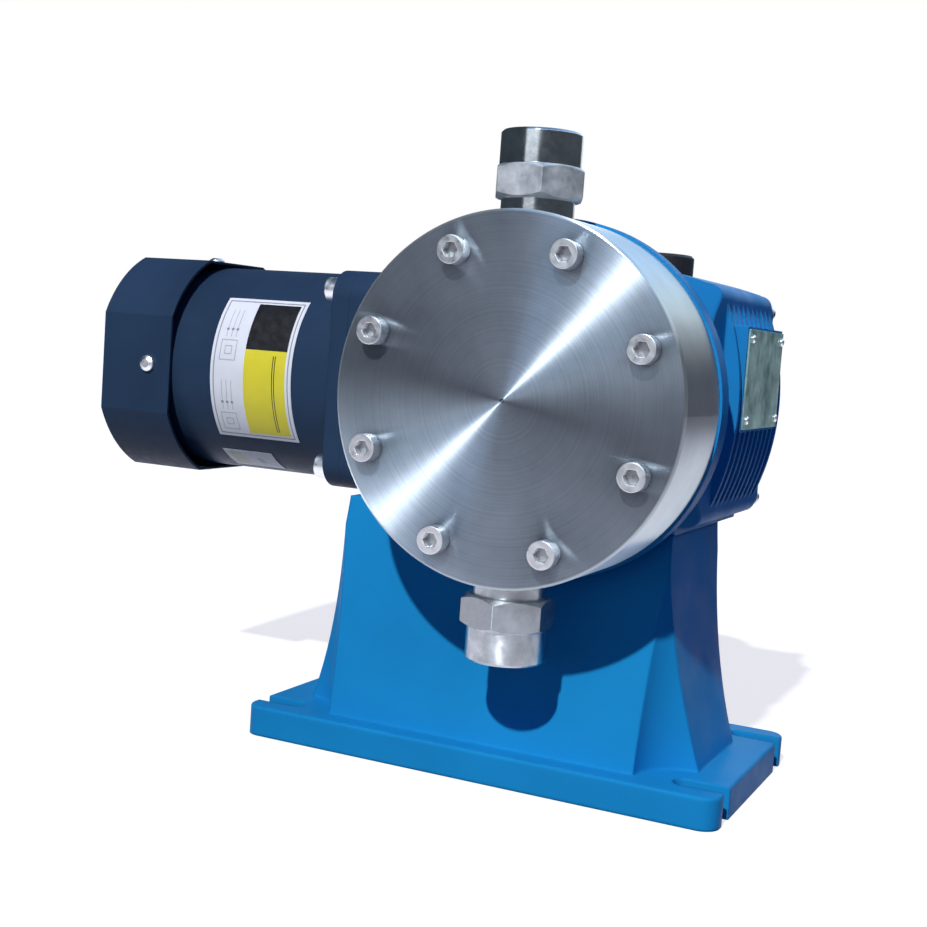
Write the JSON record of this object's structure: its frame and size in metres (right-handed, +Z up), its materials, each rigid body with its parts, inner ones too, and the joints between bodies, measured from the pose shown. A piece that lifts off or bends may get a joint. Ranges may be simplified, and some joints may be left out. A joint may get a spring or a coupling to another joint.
{
  "type": "diaphragm metering pump",
  "caption": "Motor-driven diaphragm metering pump on a flared pedestal, with a round steel head, check-valve ports above and below, and a finned gear housing.",
  "frame": {"origin": "centre of the base plate's underside", "axes": "+X towards the finned end, away from the motor; +Y back from the pump head; +Z up"},
  "size_m": [0.2965, 0.202, 0.2385],
  "materials": {
    "blue_base": "semi-gloss bright blue paint",
    "blue_housing": "semi-gloss blue paint",
    "stainless": "turned stainless steel",
    "motor_paint": "satin dark blue-grey paint",
    "screw_steel": "bright plated steel",
    "plate_aluminium": "bare satin",
    "black_plastic": "moulded matt",
    "black_rubber": "matt",
    "machine_steel": "machined",
    "bronze": "machined",
    "copper": "enamelled wire",
    "label_film": "printed film",
    "sight_glass": "clear"
  },
  "bodies": {
    "pump": {"base_pedestal": "blue_base", "camshaft_bearings": "machine_steel", "diaphragm": "black_plastic", "discharge_seat": "machine_steel", "discharge_valve_body": "stainless", "fan_cover": "motor_paint", "fan_cover_screws": "screw_steel", "gear_housing": "blue_housing", "gearhead_case": "motor_paint", "head_screws": "screw_steel", "intermediate_pin": "machine_steel", "lead_grommet": "black_rubber", "motor_bearings": "machine_steel", "motor_flange": "motor_paint", "motor_flange_screws": "screw_steel", "motor_frame": "motor_paint", "motor_label": "label_film", "motor_rear_bracket": "motor_paint", "nameplate": "plate_aluminium", "nameplate_screws": "screw_steel", "oil_breather_cap": "black_plastic", "oil_drain_plug": "bronze", "oil_sight_glass": "sight_glass", "output_bearings": "machine_steel", "pedestal_screws": "screw_steel", "plunger_bush": "bronze", "plunger_seal": "black_rubber", "pump_head": "stainless", "rear_cover": "blue_housing", "rear_cover_gasket": "black_rubber", "rear_cover_screws": "screw_steel", "return_spring": "machine_steel", "scale_sleeve": "plate_aluminium", "stator_core": "machine_steel", "stator_windings": "copper", "suction_seat": "machine_steel", "suction_valve_body": "stainless", "valve_gaskets": "black_rubber"},
    "rotor": {"rotor_shaft": "machine_steel", "rotor_core": "machine_steel", "cooling_fan": "black_plastic"},
    "intermediate": {"intermediate_gear": "machine_steel"},
    "cam": {"output_gear": "machine_steel", "output_shaft": "machine_steel", "camshaft": "machine_steel", "camshaft_key": "machine_steel", "eccentric_bearing": "machine_steel"},
    "plunger": {"plunger_yoke": "machine_steel", "diaphragm_clamp_disc": "plate_aluminium", "diaphragm_backing_disc": "plate_aluminium"},
    "stop": {"stop_pad": "machine_steel"},
    "knob": {"adjusting_screw": "machine_steel", "stroke_knob": "black_plastic"},
    "suction_check": {"suction_ball": "machine_steel"},
    "discharge_check": {"discharge_ball": "machine_steel"}
  },
  "joints": [
    {"name": "rotor_spin", "type": "hinge", "parent": "pump", "child": "rotor", "pos_m": [-0.1, 0.018, 0.145], "axis": [1, 0, 0], "continuous": true},
    {"name": "intermediate_spin", "type": "hinge", "parent": "pump", "child": "intermediate", "pos_m": [-0.065, 0.018, 0.1666], "axis": [1, 0, 0], "continuous": true},
    {"name": "camshaft_spin", "type": "hinge", "parent": "pump", "child": "cam", "pos_m": [0, 0.018, 0.145], "axis": [1, 0, 0], "continuous": true},
    {"name": "plunger_slide", "type": "slide", "parent": "pump", "child": "plunger", "axis": [0, 1, 0], "range_m": [0, 0.006], "deforming": ["return_spring", "diaphragm"]},
    {"name": "stop_slide", "type": "slide", "parent": "pump", "child": "stop", "axis": [0, 1, 0], "range_m": [-0.006, 0]},
    {"name": "knob_turn", "type": "hinge", "parent": "stop", "child": "knob", "pos_m": [0.019, 0.08, 0.145], "axis": [0, 1, 0], "range_deg": [-1440, 0]},
    {"name": "suction_ball_lift", "type": "slide", "parent": "pump", "child": "suction_check", "axis": [0, 0, 1], "range_m": [0, 0.004]},
    {"name": "discharge_ball_lift", "type": "slide", "parent": "pump", "child": "discharge_check", "axis": [0, 0, 1], "range_m": [0, 0.004]}
  ],
  "couplings": [
    {"joint": "intermediate_spin", "follows": "rotor_spin", "ratio": -0.28571},
    {"joint": "camshaft_spin", "follows": "rotor_spin", "ratio": 0.081633},
    {"joint": "stop_slide", "follows": "knob_turn", "m_per_rad": 0.00023873}
  ]
}
